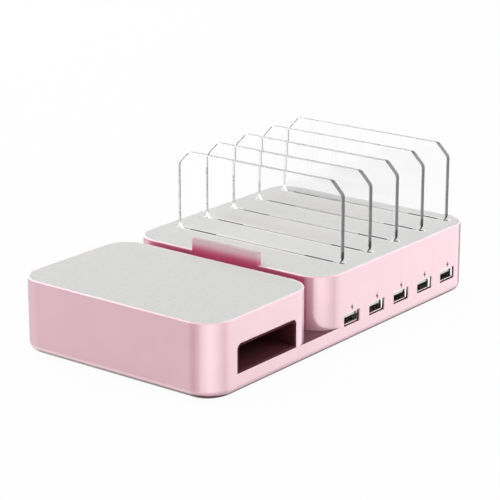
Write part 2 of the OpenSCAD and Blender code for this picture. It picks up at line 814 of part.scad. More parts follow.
module transformer_coil() {
    coil_x = core_w / 2 - core_limb - fit;
    limb_x = core_w / 2 - core_limb - core_window + fit;
    coil_h = core_h - 2 * core_yoke - 2 * fit;
    color([0.85, 0.70, 0.22]) on_board(transformer_x, 0) translate([0, 0, core_yoke + fit]) difference() {
        translate([-coil_x, -coil_y, 0]) cube([2 * coil_x, 2 * coil_y, coil_h]);
        translate([-limb_x, -core_d / 2 - fit, -cut]) cube([2 * limb_x, core_d + 2 * fit, coil_h + 2 * cut]);
    }
}

module output_capacitors() {
    color([0.16, 0.18, 0.30]) for (c = out_caps) on_board(c[0], c[1]) cylinder(d = out_cap_d, h = out_cap_h);
}

module output_inductor() {
    color([0.60, 0.34, 0.15]) on_board(inductor_x, inductor_y)
        winding(inductor_hole_d, inductor_ring, inductor_h);
}

module port_controllers() {
    color([0.12, 0.12, 0.13]) for (y = port_y) translate([controller_x, y - controller_w / 2, board_top])
        cube([controller_l, controller_w, controller_h]);
}

housing();
bottom_cover();
front_top_pad();
rear_top_pad();
storage_liner();
phone_rest();
for (i = DIVIDERS) divider(i);
for (i = PORTS) usb_shell(i);
for (i = PORTS) usb_insulator(i);
for (i = PORTS) usb_contacts(i);
main_board();
mains_inlet();
inlet_pins();
fuse();
x_capacitor();
emi_choke();
bridge_rectifier();
bulk_capacitor();
primary_heatsink();
transformer_core();
transformer_coil();
secondary_heatsink();
output_capacitors();
output_inductor();
port_controllers();
for (i = [1 : 4]) foot(i);
cover_screws();
board_screws();
liner_screws();
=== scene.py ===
"""Looks of the charging station organizer: satin rose shell, grey pads, clear lift-out
dividers, plated sockets and the parts inside. Sizes are in millimetres until they go
into a mesh. +X is the socket side, -Y the front of the storage box, +Z up."""
import json
import math

import bmesh
import bpy
import numpy as np
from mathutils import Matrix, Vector


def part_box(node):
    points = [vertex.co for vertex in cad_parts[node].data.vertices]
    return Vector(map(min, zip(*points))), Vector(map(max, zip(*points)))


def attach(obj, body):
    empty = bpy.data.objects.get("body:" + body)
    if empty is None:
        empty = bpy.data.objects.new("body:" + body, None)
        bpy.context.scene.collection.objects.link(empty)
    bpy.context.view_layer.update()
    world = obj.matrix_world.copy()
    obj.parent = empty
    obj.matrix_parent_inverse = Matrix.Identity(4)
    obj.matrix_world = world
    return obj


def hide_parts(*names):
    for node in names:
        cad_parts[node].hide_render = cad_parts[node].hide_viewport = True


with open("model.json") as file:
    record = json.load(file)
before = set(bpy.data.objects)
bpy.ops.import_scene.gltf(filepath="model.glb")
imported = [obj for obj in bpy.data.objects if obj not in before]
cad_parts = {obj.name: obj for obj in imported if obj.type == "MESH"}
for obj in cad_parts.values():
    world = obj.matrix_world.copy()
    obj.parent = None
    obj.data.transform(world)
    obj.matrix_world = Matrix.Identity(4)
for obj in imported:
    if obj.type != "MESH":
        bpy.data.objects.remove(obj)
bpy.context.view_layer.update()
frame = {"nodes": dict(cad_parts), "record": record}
nodes = frame["nodes"]

# Sizes

MM = 0.001
PORTS = range(1, 6)
DIVIDERS = range(1, 6)

box_low, box_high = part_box("housing")
SIDE, TOP = box_high[0] / MM, box_high[2] / MM
FRONT, REAR = box_low[1] / MM, box_high[1] / MM
SLOT_FRONT, SLOT_BACK = -31.95, -24.85
# The storage box and the charging block, from front to rear
BLOCKS = ((FRONT, SLOT_FRONT), (SLOT_BACK, REAR))
WALL, CORNER, RIM_BEVEL = 2.4, 15.5, 0.4
COVER_TOP, FLOOR_TOP, DECK_BOT, GROOVE_Z = 3.2, 11.4, 37.4, 39.4
# The rim round the sunken decks reaches no further in from the sides than this
RIM_REACH = 1.2
# The openings for the sockets lie between these places along Y, and all openings in the side
# wall between these heights
PORTS_FROM, PORTS_TO = -10, 102
OPENINGS_LOW, OPENINGS_HIGH = 9, 30
# The mortises reach no further than this down from the deck's underside and out along X
MORTISE_DROP, MORTISE_OUT = 6, 49
# Slack with which a point counts as lying in a plane
SLACK = 0.01

# Clear dividers
divider_low, divider_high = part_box("divider_1")
HALF_W = divider_high[0] / MM
DIVIDER_TOP, TONGUE_END = divider_high[2] / MM, divider_low[2] / MM
BEVEL, ROUND, EDGE = 7.0, 4.0, 0.25
TONGUE_W, TONGUE_IN, TONGUE_LEN = 18.0, 6.8, 5.0
DIVIDER_BOT = TONGUE_END + TONGUE_LEN

# The lacquer reaches this far into the openings for the sockets; deeper in, their walls are
# wine ABS made dark as painted shade
LACQUER_IN = 0.7
# Its painted shade and glow in the slot, and its painted highlight and shade round the grooves,
# stop short of the sides. The grooves lie between two places along Y, and from the bottom up
# their walls carry grey painted shade to where the white painted highlight of the lip starts,
# or, at a mortise, dark wine painted shade to a little above it
TONES_X = SIDE - 8.0
GROOVES_FROM, GROOVES_TO = 2.0, 110.0
TONES_LOW, LIP_LOW, MOUTH_HIGH = 35.6, 39.85, 40.2
# Lead-in at the mouths of the socket shells
LEAD_IN = 0.38
# Where the tongues of the sockets turn from grey painted shade to white, measured along +X
TIP_GREY, TIP_WHITE = 61.4, 62.0
# Height of the charging marks over the middle of their sockets, and how far their print
# reaches into the side wall and out of it
MARK_RISE, PRINT_IN, PRINT_OUT = 6.0, 0.02, 0.03


# Materials

def linear(code):
    """sRGB hex to linear: each channel / 12.92 below 0.04045, else ((c + 0.055) / 1.055) ^ 2.4."""
    channels = [int(code[i:i + 2], 16) / 255 for i in (0, 2, 4)]
    return [c / 12.92 if c <= 0.04045 else ((c + 0.055) / 1.055) ** 2.4 for c in channels] + [1.0]


def add(tree, kind, settings=None, links=None):
    """Adds one node. Settings name its inputs or its own properties, and links give
    (input, node, output) for what feeds it."""
    node = tree.nodes.new(kind)
    for key, value in (settings or {}).items():
        if isinstance(key, str) and hasattr(node, key):
            setattr(node, key, value)
        else:
            node.inputs[key].default_value = value
    for key, source, output in links or []:
        tree.links.new(source.outputs[output], node.inputs[key])
    return node


def new_material(name):
    """An empty node material and its tree, output and object coordinates."""
    made = bpy.data.materials.new(name)
    made.use_nodes = True
    tree = made.node_tree
    tree.nodes.clear()
    output = add(tree, "ShaderNodeOutputMaterial")
    place = add(tree, "ShaderNodeTexCoord")
    return made, tree, output, place


def drift(tree, place, size_mm=18.0, detail=2.0, start=0.35, end=0.65):
    """Cloudy drift of tone from 0 to 1, in patches about size_mm across."""
    cloud = add(tree, "ShaderNodeTexNoise",
                {"Scale": 1 / (size_mm * MM), "Detail": detail, "Roughness": 0.5},
                [("Vector", place, "Object")])
    return add(tree, "ShaderNodeMapRange", {"From Min": start, "From Max": end},
               [("Value", cloud, "Fac")])


def grain(tree, place, size_mm, height_mm, roughness, varies, stretch=None):
    """Surface grain about size_mm across, drawn out along an axis by stretch. Gives the
    roughness, which runs from roughness - varies to + varies with it, and a bump of height_mm."""
    source, output = place, "Object"
    if stretch:
        source = add(tree, "ShaderNodeMapping", {"Scale": stretch}, [("Vector", place, "Object")])
        output = "Vector"
    fine = add(tree, "ShaderNodeTexNoise",
               {"Scale": 1 / (size_mm * MM), "Detail": 3.0, "Roughness": 0.55},
               [("Vector", source, output)])
    rough = add(tree, "ShaderNodeMapRange",
                {"From Min": 0.3, "From Max": 0.7, "To Min": roughness - varies,
                 "To Max": roughness + varies}, [("Value", fine, "Fac")])
    bump = add(tree, "ShaderNodeBump", {"Strength": 1.0, "Distance": height_mm * MM},
               [("Height", fine, "Fac")])
    return rough, bump


def finish(name, dark, light, roughness, grain_mm, height_mm, metallic=0.0, ior=1.5,
           stretch=None, speck_mm=None, coat=0.0):
    """General surface: a colour between dark and light that drifts slowly or, with speck_mm,
    in specks of that size, and a grain of height_mm at grain_mm that also varies the
    roughness. A metal keeps the default IOR."""
    made, tree, output, place = new_material(name)
    tint = drift(tree, place, speck_mm, 1.0, 0.3, 0.7) if speck_mm else drift(tree, place)
    colour = add(tree, "ShaderNodeMix", {"data_type": "RGBA", 6: linear(dark), 7: linear(light)},
                 [(0, tint, "Result")])
    rough, bump = grain(tree, place, grain_mm, height_mm, roughness, 0.05, stretch)
    shader = add(tree, "ShaderNodeBsdfPrincipled",
                 {"Metallic": metallic, "Coat Weight": coat, "Coat Roughness": 0.1},
                 [("Base Color", colour, 2), ("Roughness", rough, "Result"),
                  ("Normal", bump, "Normal")])
    if metallic < 1.0:
        shader.inputs["IOR"].default_value = ior
    tree.links.new(shader.outputs[0], output.inputs["Surface"])
    return made


def clear_sheet(name, tint, roughness, ior, density, scratch_mm, height_mm):
    """Cast acrylic: colourless, with a faint grey absorption along long paths."""
    made, tree, output, place = new_material(name)
    scratch = add(tree, "ShaderNodeTexNoise",
                  {"Scale": 1 / (scratch_mm * MM), "Detail": 2.0, "Roughness": 0.5},
                  [("Vector", place, "Object")])
    bump = add(tree, "ShaderNodeBump", {"Strength": 1.0, "Distance": height_mm * MM},
               [("Height", scratch, "Fac")])
    shader = add(tree, "ShaderNodeBsdfPrincipled",
                 {"Base Color": linear(tint), "Roughness": roughness, "IOR": ior,
                  "Transmission Weight": 1.0}, [("Normal", bump, "Normal")])
    body = add(tree, "ShaderNodeVolumeAbsorption", {"Color": linear("C0C2C2"), "Density": density})
    tree.links.new(shader.outputs[0], output.inputs["Surface"])
    tree.links.new(body.outputs[0], output.inputs["Volume"])
    return made


def between(tree, source, output, low_mm, high_mm, soft_mm):
    """1 between two places along one axis, fading to 0 over soft_mm beyond them."""
    middle, half = (low_mm + high_mm) / 2 * MM, (high_mm - low_mm) / 2 * MM
    off = add(tree, "ShaderNodeMath", {"operation": "SUBTRACT", 1: middle}, [(0, source, output)])
    off = add(tree, "ShaderNodeMath", {"operation": "ABSOLUTE"}, [(0, off, 0)])
    return add(tree, "ShaderNodeMapRange",
               {"interpolation_type": "SMOOTHSTEP", "From Min": half + soft_mm * MM,
                "From Max": half}, [("Value", off, 0)])


def slot_only(tree, way, deep):
    """Limits the painted crimson shade and glow to the phone slot, by a band along Y and one along
    X.
    """
    for part in (between(tree, way, "Y", SLOT_FRONT - 0.03, SLOT_BACK + 0.03, 0.6),
                 between(tree, way, "X", -TONES_X, TONES_X, 5.0)):
        deep = add(tree, "ShaderNodeMath", {"operation": "MULTIPLY"}, [(0, deep, 0), (1, part, 0)])
    return deep


def painted_contact_shade(tree, way, colour):
    """Painted contact shadow: along the lower edge the colour turns dark wine, between 4.1 and 2.9
    mm high.
    """
    below = add(tree, "ShaderNodeMapRange",
                {"interpolation_type": "SMOOTHSTEP", "From Min": 4.1 * MM, "From Max": 2.9 * MM},
                [("Value", way, "Z")])
    return add(tree, "ShaderNodeMix", {"data_type": "RGBA", 7: linear("54303C")},
               [(0, below, 0), (6, colour, 2)])


def painted_groove_light(tree, way, colour):
    """Painted light round the grooves of the dividers: a white painted highlight on their lip,
    grey painted shade on the wall below it, and dark wine painted shade in the mortises' mouths."""
    groove = between(tree, way, "Z", DECK_BOT, TOP + 2.0, 0.2)
    for part in (between(tree, way, "Y", GROOVES_FROM, GROOVES_TO, 1.0),
                 between(tree, way, "X", -TONES_X, TONES_X, 1.0)):
        groove = add(tree, "ShaderNodeMath", {"operation": "MULTIPLY"},
                     [(0, groove, 0), (1, part, 0)])
    shade = between(tree, way, "Z", TONES_LOW, LIP_LOW, 0.15)
    # Painted highlight: white on the lip; painted shade: grey on the wall below it
    tone = add(tree, "ShaderNodeMix",
               {"data_type": "RGBA", 6: linear("FFFFFF"), 7: linear("8C777D")}, [(0, shade, 0)])
    side = add(tree, "ShaderNodeMath", {"operation": "ABSOLUTE"}, [(0, way, "X")])
    outer = HALF_W - TONGUE_IN
    across = between(tree, side, 0, outer - TONGUE_W - 0.1, outer + 0.1, 0.2)
    upright = between(tree, way, "Z", TONES_LOW, MOUTH_HIGH, 0.15)
    mouth = add(tree, "ShaderNodeMath", {"operation": "MULTIPLY"},
                [(0, across, 0), (1, upright, 0)])
    # Painted shade: dark wine in the mouths of the mortises
    tone = add(tree, "ShaderNodeMix", {"data_type": "RGBA", 7: linear("3A0F1A")},
               [(0, mouth, 0), (6, tone, 2)])
    return add(tree, "ShaderNodeMix", {"data_type": "RGBA"},
               [(0, groove, 0), (6, colour, 2), (7, tone, 2)])


def pearl_lacquer(name, pale, slot_glow, full, painted_dark, coat, shell=False):
    """Pearl lacquer with a clear coat. Going down, from the height full to a lower one, its
    colour turns crimson: painted shade and painted glow of pink walls lighting each other. On
    the shell it does so in the slot only, and it also carries a painted contact shadow along
    the lower edge and painted highlight and shade round the grooves."""
    made, tree, output, place = new_material(name)
    tint = drift(tree, place)
    rose = add(tree, "ShaderNodeMix",
               {"data_type": "RGBA", 6: linear(pale[0]), 7: linear(pale[1])},
               [(0, tint, "Result")])
    # Painted shade and glow: the crimson that shows down in the slot
    crimson = add(tree, "ShaderNodeMix",
                  {"data_type": "RGBA", 6: linear(slot_glow[0]), 7: linear(slot_glow[1])},
                  [(0, tint, "Result")])
    way = add(tree, "ShaderNodeSeparateXYZ", {}, [(0, place, "Object")])
    deep = add(tree, "ShaderNodeMapRange",
               {"interpolation_type": "SMOOTHSTEP", "From Min": full * MM, "From Max": painted_dark * MM},
               [("Value", way, "Z")])
    if shell:
        deep = slot_only(tree, way, deep)
    colour = add(tree, "ShaderNodeMix", {"data_type": "RGBA"},
                 [(0, deep, 0), (6, rose, 2), (7, crimson, 2)])
    if shell:
        colour = painted_groove_light(tree, way, painted_contact_shade(tree, way, colour))
    rough, bump = grain(tree, place, 1.4, 0.0006, 0.42, 0.02)
    shader = add(tree, "ShaderNodeBsdfPrincipled",
                 {"IOR": 1.5, "Coat Weight": coat, "Coat Roughness": 0.12, "Coat IOR": 1.6},
                 [("Base Color", colour, 2), ("Roughness", rough, "Result"),
                  ("Normal", bump, "Normal")])
    tree.links.new(shader.outputs[0], output.inputs["Surface"])
    return made


def tongue_plastic(name, dark, light, painted_shade):
    """Moulded plastic of the socket tongues: between dark and light at the tip, and behind it
    grey, as painted shade for where no light gets in."""
    made = finish(name, dark, light, 0.4, 0.7, 0.003)
    tree = made.node_tree
    shader = next(node for node in tree.nodes if node.type == "BSDF_PRINCIPLED")
    place = next(node for node in tree.nodes if node.type == "TEX_COORD")
    colour = shader.inputs["Base Color"].links[0].from_node
    way = add(tree, "ShaderNodeSeparateXYZ", {}, [(0, place, "Object")])
    tip = add(tree, "ShaderNodeMapRange", {"From Min": TIP_GREY * MM, "From Max": TIP_WHITE * MM},
              [("Value", way, "X")])
    # Painted shade: grey behind the tip
    colour = add(tree, "ShaderNodeMix", {"data_type": "RGBA", 6: linear(painted_shade)},
                 [(0, tip, 0), (7, colour, 2)])
    tree.links.new(colour.outputs[2], shader.inputs["Base Color"])
    return made


# Pearl lacquer sprayed on moulded ABS, with a clear coat: an even pink body with soft white
# highlights, its pearl too fine to see one by one. Down in the slot it turns crimson: painted
# shade and painted glow of the slot's pink walls lighting each other
ROSE = pearl_lacquer("rose pearl lacquer", ("EEBDCC", "F1C0CF"), ("D2648A", "D86C90"),
                     40.5, 39.0, 1.0, shell=True)
# The same on the phone rest, turning crimson towards its foot: a painted reflection of the
# slot's pink walls
ROSE_REST = pearl_lacquer("rose pearl lacquer on the rest", ("FBD9E3", "FDDDE7"),
                          ("E4648E", "EA6C96"), 46.4, 40.4, 0.35)
# Its upward faces: a matt, darker rose
ROSE_CREST = finish("matt rose ABS of the crest", "D5B8C1", "DABEC7", 0.75, 0.6, 0.004, ior=1.35)
# The same ABS moulded in colour with a fine spark texture: dull and even
ROSE_TEXTURED = finish("rose spark-eroded ABS", "D8B0BC", "DFB8C4", 0.55, 0.5, 0.006)
# Soft-touch elastomer sheet, embossed with a fine leather grain: matt light grey
PAD = finish("embossed grey elastomer", "DADAD9", "E0E0DF", 0.8, 0.9, 0.012, ior=1.4,
             speck_mm=1.6)
# Cast acrylic sheet, polished faces: nearly invisible. Its IOR of 1.49 is lowered, because
# light that has to cross all five sheets would otherwise be cut short and they would look grey
CLEAR = clear_sheet("polished cast acrylic", "FFFFFF", 0.0, 1.38, 2.0, 9.0, 0.0004)
# Its two ends, sawn and flame polished: tinted smoky grey as painted shade, slightly streaked
CLEAR_END_SHADE = clear_sheet("acrylic end, flame polished, in painted grey shade", "6C6E6E", 0.05, 1.49, 4.0, 1.5, 0.003)
# Unlacquered wine ABS moulded dull, made dark as painted shade on the walls of the openings
# and mortises and inside
WINE_SHADE = finish("unlacquered wine ABS in painted shade", "47111C", "4E1521", 0.75, 0.6, 0.004, ior=1.35)
# Painted shade on the slot's floor: a dull mauve-brown, paler than the wine
SLOT_FLOOR_SHADE = finish("slot floor wine ABS in painted shade", "6A434E", "704853", 0.75, 0.6, 0.004,
                    ior=1.35)
# Painted shade inside the storage pocket: the same wine ABS, darker, so that no light comes
# back from it
POCKET_SHADE = finish("pocket wine ABS in painted shade", "3A0E17", "40121C", 0.85, 0.6, 0.004, ior=1.3)
# Nickel plated steel sheet with faint rolling lines
NICKEL = finish("nickel plated steel", "C6C4C4", "D4D2D2", 0.24, 0.8, 0.0015, metallic=1.0,
                stretch=(6.0, 1.0, 1.0))
# Gold plated spring bronze: warm and smooth
GOLD = finish("gold plated bronze", "D8B060", "E2BE70", 0.25, 0.8, 0.001, metallic=1.0)
# Glass-filled black nylon: satin with a little fibre bloom
BLACK = finish("glass-filled black nylon", "121213", "1C1C1E", 0.45, 0.7, 0.004)
# Moulded polyester of the socket tongues: white and satin at the tip, grey painted shade
# behind it
WHITE = tongue_plastic("white moulded polyester", "F6F6F3", "FCFCFA", "7C8481")
# Print of the charging marks: matt, nearly black
MARK = finish("dark wine print", "220810", "280B14", 0.8, 0.4, 0.002, ior=1.2)
# Solder mask over glass laminate: glossy green with a weave just showing
MASK = finish("green solder mask", "0E3B26", "124A30", 0.35, 0.8, 0.004, coat=0.3)
# Polyester tape and moulded epoxy: yellow and satin
TAPE = finish("yellow polyester tape", "C79A22", "D6AC34", 0.4, 1.2, 0.006)
# Enamelled copper wire, wound: coppery, with lines round the coil
COPPER = finish("enamelled copper wire", "7A3A18", "9A5020", 0.32, 0.6, 0.02, metallic=0.7,
                stretch=(1.0, 1.0, 4.0))
# Shrink sleeve on capacitors: glossy dark blue PET
SLEEVE = finish("dark blue shrink sleeve", "12182F", "1A2140", 0.3, 1.4, 0.004)
# Extruded aluminium with die lines
EXTRUDED = finish("extruded aluminium", "B4B6B8", "C4C6C8", 0.38, 0.6, 0.003, metallic=1.0,
                  stretch=(1.0, 6.0, 1.0))
# Sintered ferrite: matt charcoal, a little porous
FERRITE = finish("sintered ferrite", "262628", "333335", 0.7, 0.4, 0.012)
# Zinc plated screw steel: grey and satin
ZINC = finish("zinc plated steel", "9C9DA0", "B2B3B6", 0.34, 0.5, 0.003, metallic=1.0)
# Moulded silicone rubber: matt, nearly black
RUBBER = finish("moulded rubber", "1C1C1D", "262627", 0.75, 0.5, 0.01)

BY_SLOT = {
    "rose_shell": ROSE, "rose_cover": ROSE_TEXTURED, "pad": PAD, "wine_liner": POCKET_SHADE,
    "clear_acrylic": CLEAR, "socket_steel": NICKEL, "black_plastic": BLACK, "gold_contact": GOLD,
    "board": MASK, "plated_pins": NICKEL, "yellow_case": TAPE, "copper_winding": COPPER,
    "blue_sleeve": SLEEVE, "heatsink": EXTRUDED, "ferrite": FERRITE, "screw_steel": ZINC,
    "foot_rubber": RUBBER, "white_plastic": WHITE,
}
slot_of = {part["node"]: part["material_slot"] for part in frame["record"]["subparts"]}
for node, slot in slot_of.items():
    nodes[node].material_slots[0].material = BY_SLOT[slot]


# Shapes

def piece(name, points_mm, faces, materials, body, indices=None):
    """A new piece from points in millimetres and faces, riding on a body."""
    mesh = bpy.data.meshes.new(name)
    mesh.from_pydata((np.asarray(points_mm, float) * MM).tolist(), [],
                     [list(map(int, face)) for face in faces])
    for material in materials:
        mesh.materials.append(material)
    if indices is not None:
        mesh.polygons.foreach_set("material_index", np.asarray(indices, np.int32))
    mesh.validate()
    mesh.shade_smooth()
    mesh.set_sharp_from_angle(angle=math.radians(30))
    made = bpy.data.objects.new(name, mesh)
    bpy.context.scene.collection.objects.link(made)
    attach(made, body)
    return made


def rounded(points, radii, steps=10):
    """Closed outline whose corner i is an arc of radii[i], tangent to both of its sides. The
    arc's centre lies on the corner's bisector, at radius / sin(half the corner's angle)."""
    points = np.asarray(points, float)
    out = []
    for p, before, after, r in zip(points, np.roll(points, 1, 0), np.roll(points, -1, 0), radii):
        if r == 0:
            out.append(p[None])
            continue
        u = (before - p) / np.linalg.norm(before - p)
        v = (after - p) / np.linalg.norm(after - p)
        half = math.acos(np.clip(u @ v, -1, 1)) / 2
        middle = (u + v) / np.linalg.norm(u + v)
        centre = p + middle * r / math.sin(half)
        start = p + u * r / math.tan(half) - centre
        end = p + v * r / math.tan(half) - centre
        a = math.atan2(start[1], start[0])
        turn = (math.atan2(end[1], end[0]) - a + math.pi) % (2 * math.pi) - math.pi
        t = a + turn * np.linspace(0, 1, steps + 1)
        out.append(centre + r * np.stack([np.cos(t), np.sin(t)], 1))
    return np.concatenate(out)


def inset(outline, distance):
    """Moves each point of a closed outline inwards by distance along the mean of its two
    side normals, lengthened at corners. The outline runs anticlockwise."""
    a = outline - np.roll(outline, 1, 0)
    b = np.roll(outline, -1, 0) - outline
    na = np.stack([-a[:, 1], a[:, 0]], 1) / np.linalg.norm(a, axis=1)[:, None]
    nb = np.stack([-b[:, 1], b[:, 0]], 1) / np.linalg.norm(b, axis=1)[:, None]
    mean = na + nb
    return outline + distance * 2 * mean / np.maximum((mean * mean).sum(1), 0.3)[:, None]


def plate(outline, low, high, edge, across):
    """Flat plate between two levels along an axis: four rings of the outline, the first and
    last set in by the edge bevel, joined by quads and closed by two flat caps. Also gives the
    number of the quads."""
    rings = [(inset(outline, edge), low), (outline, low + edge), (outline, high - edge),
             (inset(outline, edge), high)]
    count = len(outline)
    points = np.zeros((4, count, 3))
    for ring, (line, level) in enumerate(rings):
        points[ring][:, [a for a in range(3) if a != across]] = line
        points[ring][:, across] = level
    i = np.arange(count)
    j = (i + 1) % count
    faces = []
    for ring in range(3):
        faces += np.stack([ring * count + i, ring * count + j,
                           (ring + 1) * count + j, (ring + 1) * count + i], 1).tolist()
    sides = len(faces)
    faces += [i[::-1].tolist(), (3 * count + i).tolist()]
    if across == 1:
        faces = [face[::-1] for face in faces]
    return points.reshape(-1, 3), faces, sides


def is_jamb(middle, normal):
    """True for an upright wall of one of the openings for the sockets."""
    return (SIDE - WALL - 0.05 < middle[0] < SIDE and abs(normal[1]) > 0.6
            and PORTS_FROM < middle[1] < PORTS_TO
            and OPENINGS_LOW < middle[2] < OPENINGS_HIGH)


def softened(node, width, pick, material, steps=2, cut_z=None, cut_jambs=None):
    """A merged copy of a CAD node whose picked sharp edges get a small rounding, or a flat
    bevel with one step. Its faces are parted at the height cut_z, and those of its openings in
    the side wall at the place cut_jambs, so that each part of them can have its own finish."""
    work = bmesh.new()
    work.from_mesh(nodes[node].data)
    bmesh.ops.remove_doubles(work, verts=work.verts, dist=1e-6)
    bmesh.ops.dissolve_limit(work, angle_limit=math.radians(0.5), verts=work.verts,
                             edges=work.edges)
    if cut_z:
        bmesh.ops.bisect_plane(work, geom=work.verts[:] + work.edges[:] + work.faces[:],
                               dist=1e-6, plane_co=(0, 0, cut_z * MM), plane_no=(0, 0, 1))
    if cut_jambs:
        jambs = [f for f in work.faces if is_jamb(f.calc_center_median() / MM, f.normal)]
        parts = {v for f in jambs for v in f.verts} | {e for f in jambs for e in f.edges}
        bmesh.ops.bisect_plane(work, geom=list(parts | set(jambs)), dist=1e-6,
                               plane_co=(cut_jambs * MM, 0, 0), plane_no=(1, 0, 0))
    chosen = [e for e in work.edges if e.is_manifold and e.is_convex
              and e.calc_face_angle() > math.radians(40)
              and pick(e.verts[0].co / MM, e.verts[1].co / MM)]
    bmesh.ops.bevel(work, geom=chosen, offset=width * MM, offset_type="OFFSET", segments=steps,
                    profile=0.5, affect="EDGES", clamp_overlap=False)
    mesh = bpy.data.meshes.new(node + "_skin")
    work.to_mesh(mesh)
    work.free()
    mesh.materials.append(material)
    mesh.shade_smooth()
    mesh.set_sharp_from_angle(angle=math.radians(35))
    made = bpy.data.objects.new(node + "_skin", mesh)
    bpy.context.scene.collection.objects.link(made)
    made.modifiers.new("weighted normals", "WEIGHTED_NORMAL").keep_sharp = True
    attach(made, "station")
    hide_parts(node)
    return made


def face_values(mesh, name):
    """The centre or normal of each face of a mesh, as rows of an array."""
    values = np.zeros(len(mesh.polygons) * 3)
    mesh.polygons.foreach_get(name, values)
    return values.reshape(-1, 3)


def divider_outline():
    """Front view of a divider: bevelled at its top corners and rounded at every outer corner,
    with two square tongues below."""
    near = HALF_W - TONGUE_IN
    far = near - TONGUE_W
    shoulder = DIVIDER_TOP - BEVEL
    corners = [
        (-HALF_W, DIVIDER_BOT), (-near, DIVIDER_BOT), (-near, TONGUE_END), (-far, TONGUE_END),
        (-far, DIVIDER_BOT), (far, DIVIDER_BOT), (far, TONGUE_END), (near, TONGUE_END),
        (near, DIVIDER_BOT), (HALF_W, DIVIDER_BOT), (HALF_W, shoulder),
        (HALF_W - BEVEL, DIVIDER_TOP), (-HALF_W + BEVEL, DIVIDER_TOP), (-HALF_W, shoulder)]
    return rounded(corners, [ROUND] + [0] * 8 + [ROUND] * 5)


def clear_divider(i, outline):
    """Divider i, with its two upright ends and top bevels tinted smoky grey as painted shade. It
    casts no shadow, because the light goes through it."""
    low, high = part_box(f"divider_{i}")
    points, faces, sides = plate(outline, low[1] / MM, high[1] / MM, EDGE, 1)
    middles = np.array([points[face].mean(0) for face in faces])
    at_end = (np.abs(middles[:, 0]) > HALF_W - BEVEL) & (middles[:, 2] > DIVIDER_BOT + ROUND)
    at_end[sides:] = False
    sheet = piece(f"divider_sheet_{i}", points, faces, [CLEAR, CLEAR_END_SHADE], f"divider_{i}_plate",
                  at_end)
    sheet.visible_shadow = False
    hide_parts(f"divider_{i}")


def depth_in(x, y, block):
    """How far a point lies inside a block's rounded outline: to the arc in a corner, and to the
    nearer side elsewhere. Negative outside."""
    side_x = np.abs(x) - SIDE
    side_y = np.abs(y - sum(block) / 2) - (block[1] - block[0]) / 2
    past_x, past_y = side_x + CORNER, side_y + CORNER
    return np.where((past_x > 0) & (past_y > 0), CORNER - np.hypot(past_x, past_y),
                    np.minimum(-side_x, -side_y))


def outer_edge(a, b):
    """True for the two edges of the rim's bevel, for edges in the plane of a side wall, and for
    those round the grooves and the rest's notch."""
    on_side = abs(abs(a[0]) - SIDE) < SLACK and abs(abs(b[0]) - SIDE) < SLACK
    on_top = a[2] > TOP - SLACK and b[2] > TOP - SLACK
    rim = min(a[2], b[2]) > TOP - RIM_BEVEL - SLACK and abs(a[2] - b[2]) < SLACK
    for v in (a, b):
        depth = max(float(depth_in(v[0], v[1], block)) for block in BLOCKS)
        rim = rim and -SLACK < depth < RIM_BEVEL + SLACK
    return rim or (on_side and not on_top) or (on_top and abs(a[0]) < SIDE - RIM_REACH)


def shell_finish(mesh):
    """Finish of each face of the shell: 0 lacquer, which covers the outside only, 1 unlacquered
    wine ABS, made dark as painted shade, on the walls of the openings and grooves and inside,
    and 2 the slot's floor in painted shade."""
    centre, normal = face_values(mesh, "center") / MM, np.abs(face_values(mesh, "normal"))
    x, y, z = np.abs(centre[:, 0]), centre[:, 1], centre[:, 2]
    in_mortise = (z < GROOVE_Z - SLACK) & (z > DECK_BOT - MORTISE_DROP)
    in_mortise &= (x < MORTISE_OUT) & (y > GROOVES_FROM)
    painted_dark = in_mortise & (normal[:, 2] < 0.9)
    for block in BLOCKS:
        depth = depth_in(x, y, block)
        painted_dark |= (depth > WALL - 0.05) & (z > COVER_TOP - SLACK) & (z < DECK_BOT + SLACK)
        # Painted shade: walls of the openings deeper than the lacquer reaches
        opening = (depth > 0.25) & (x > SIDE - WALL - 0.05) & (normal[:, 0] < 0.6)
        opening &= (z > OPENINGS_LOW) & (z < OPENINGS_HIGH)
        painted_dark |= opening & ((y < PORTS_FROM) | (normal[:, 1] < 0.6) | (x < SIDE - LACQUER_IN))
    outside = np.maximum(depth_in(x, y, BLOCKS[0]), depth_in(x, y, BLOCKS[1])) < 0.05
    # Painted shade on the slot's floor
    floor = outside & (normal[:, 2] > 0.9) & (np.abs(z - FLOOR_TOP) < 0.1)
    return np.where(floor, 2, painted_dark).astype(np.int32)


def lacquered_shell():
    """Housing with its outer edges eased."""
    shell = softened("housing", 0.2, outer_edge, ROSE, cut_z=GROOVE_Z,
                     cut_jambs=SIDE - LACQUER_IN)
    shell.data.materials.append(WINE_SHADE)
    shell.data.materials.append(SLOT_FLOOR_SHADE)
    shell.data.polygons.foreach_set("material_index", shell_finish(shell.data))


def phone_rest():
    """Phone rest with eased upper edges, its upward faces in a matt, darker rose."""
    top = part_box("phone_rest")[1][2] / MM
    rest = softened("phone_rest", 0.3, lambda a, b: max(a[2], b[2]) > top - SLACK, ROSE_REST)
    rest.data.materials.append(ROSE_CREST)
    upward = face_values(rest.data, "normal")[:, 2] > 0.3
    rest.data.polygons.foreach_set("material_index", upward.astype(np.int32))


def socket_shell(i):
    """Socket shell i, the upright edges of its mouth opened out by a small lead-in for the
    plug."""
    low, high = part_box(f"usb_shell_{i}")
    front = high[0] / MM
    middle, reach = (low[1] + high[1]) / 2 / MM, (high[1] - low[1]) / 2 / MM
    softened(f"usb_shell_{i}", LEAD_IN, lambda a, b: min(a[0], b[0]) > front - SLACK
             and max(abs(a[1] - middle), abs(b[1] - middle)) < reach - 0.2
             and abs(a[2] - b[2]) > 1.0, NICKEL, steps=1)


